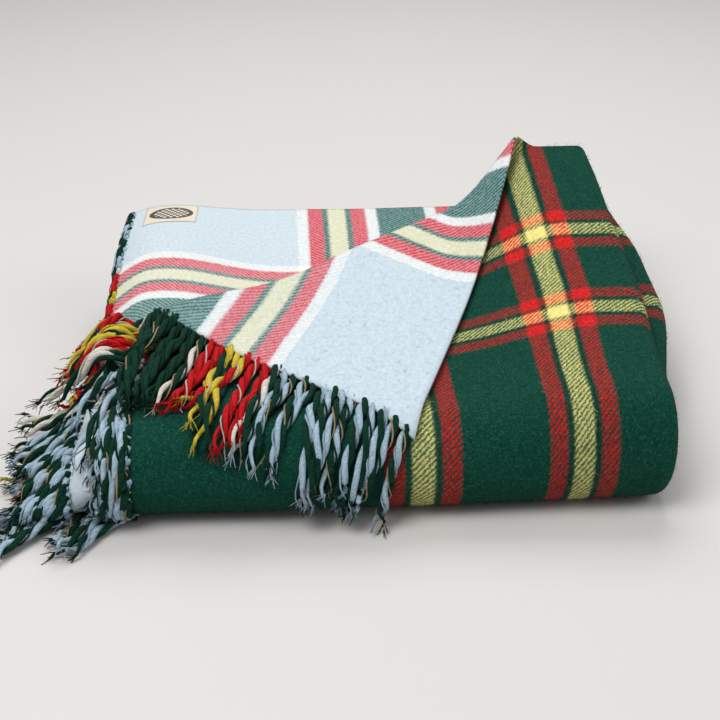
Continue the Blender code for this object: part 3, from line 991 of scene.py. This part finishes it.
class RUG_OT_label(bpy.types.Operator):
    """Sew on the small woven label"""

    bl_idname = "rug.label"
    bl_label = "Label"

    def execute(self, context):
        high_u = RUG_LENGTH - LABEL_INSET[0]
        us = np.linspace(high_u - LABEL_SIZE[0], high_u, LABEL_GRID[0])
        vs = np.linspace(LABEL_INSET[1], LABEL_INSET[1] + LABEL_SIZE[1], LABEL_GRID[1])
        u, v = (a.ravel() for a in np.meshgrid(us, vs, indexing="ij"))
        lift = LABEL_W + ripples(u, v)
        flat = np.stack((u - us.mean(), v - vs.mean(), 0 * u), -1)
        colours = context.scene.rug_colours
        tape = woven_label(tuple(colours.label_ground), tuple(colours.label_brown))
        label = new_object("Rug_label", folded(u, v, lift), grid_faces(*LABEL_GRID),
                           tape, flat)
        shell = label.modifiers.new("Thickness", "SOLIDIFY")
        shell.thickness = 0.0007
        shell.offset = 1.0
        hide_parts("label")
        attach(label, BODY)
        return {"FINISHED"}


class RUG_OT_studio(bpy.types.Operator):
    """Set the pale floor, the soft lights and the camera"""

    bl_idname = "rug.studio"
    bl_label = "Studio"

    def execute(self, context):
        material, _, shader = new_material("Matt studio paper")
        shader.inputs["Base Color"].default_value = linear("#D2CFCC")
        shader.inputs["Roughness"].default_value = 0.9
        corners = [(x * FLOOR_HALF, y * FLOOR_HALF, 0)
                   for x, y in ((-1, -1), (1, -1), (1, 1), (-1, 1))]
        new_object("Studio_floor", corners, [(0, 1, 2, 3)], material)
        middle = (Vector(CAD_BOX[0]) + Vector(CAD_BOX[1])) / 2
        for name, place, power, width in LIGHTS:
            light = bpy.data.lights.new(name, "AREA")
            light.energy = power
            light.size = width
            lamp = bpy.data.objects.new(name, light)
            lamp.location = middle + Vector(place)
            facing = (middle - lamp.location).to_track_quat("-Z", "Y")
            lamp.rotation_euler = facing.to_euler()
            context.scene.collection.objects.link(lamp)
        world = bpy.data.worlds.new("Studio")
        context.scene.world = world
        world.use_nodes = True
        background = world.node_tree.nodes["Background"]
        background.inputs["Color"].default_value = (0.95, 0.97, 1, 1)
        background.inputs["Strength"].default_value = 0.28
        target = Vector(SHIFT) + Vector((0, 0, CAMERA_TARGET_Z))
        back = Vector((-sin(CAMERA_TURN) * cos(CAMERA_RISE),
                       -cos(CAMERA_TURN) * cos(CAMERA_RISE), sin(CAMERA_RISE)))
        camera = bpy.data.objects.new("Camera", bpy.data.cameras.new("Camera"))
        camera.data.lens = CAMERA_LENS
        camera.location = target + back * CAMERA_AWAY
        camera.rotation_euler = (-back).to_track_quat("-Z", "Y").to_euler()
        context.scene.collection.objects.link(camera)
        context.scene.camera = camera
        context.scene.view_settings.view_transform = "Standard"
        return {"FINISHED"}


OPERATORS = (RUG_OT_cloth, RUG_OT_fringes, RUG_OT_label, RUG_OT_studio)


class RUG_PT_panel(bpy.types.Panel):
    """The rug's sizes, its colours and its pieces"""

    bl_idname = "RUG_PT_panel"
    bl_label = "Travel Rug"
    bl_space_type = "VIEW_3D"
    bl_region_type = "UI"
    bl_category = "Travel Rug"

    def draw(self, context):
        for group in (context.scene.rug_sizes, context.scene.rug_colours):
            for name in group.bl_rna.properties.keys():
                if name not in {"rna_type", "name"}:
                    self.layout.prop(group, name)
        for operator in OPERATORS:
            self.layout.operator(operator.bl_idname)


CLASSES = (RugColours, RugSizes, *OPERATORS, RUG_PT_panel)


def register():
    for cls in CLASSES:
        bpy.utils.register_class(cls)
    bpy.types.Scene.rug_sizes = bpy.props.PointerProperty(type=RugSizes)
    bpy.types.Scene.rug_colours = bpy.props.PointerProperty(type=RugColours)


def unregister():
    del bpy.types.Scene.rug_colours
    del bpy.types.Scene.rug_sizes
    for cls in reversed(CLASSES):
        bpy.utils.unregister_class(cls)


def main():
    register()
    bpy.ops.rug.cloth()
    bpy.ops.rug.fringes()
    bpy.ops.rug.label()
    bpy.ops.rug.studio()


if __name__ == "__main__":
    main()
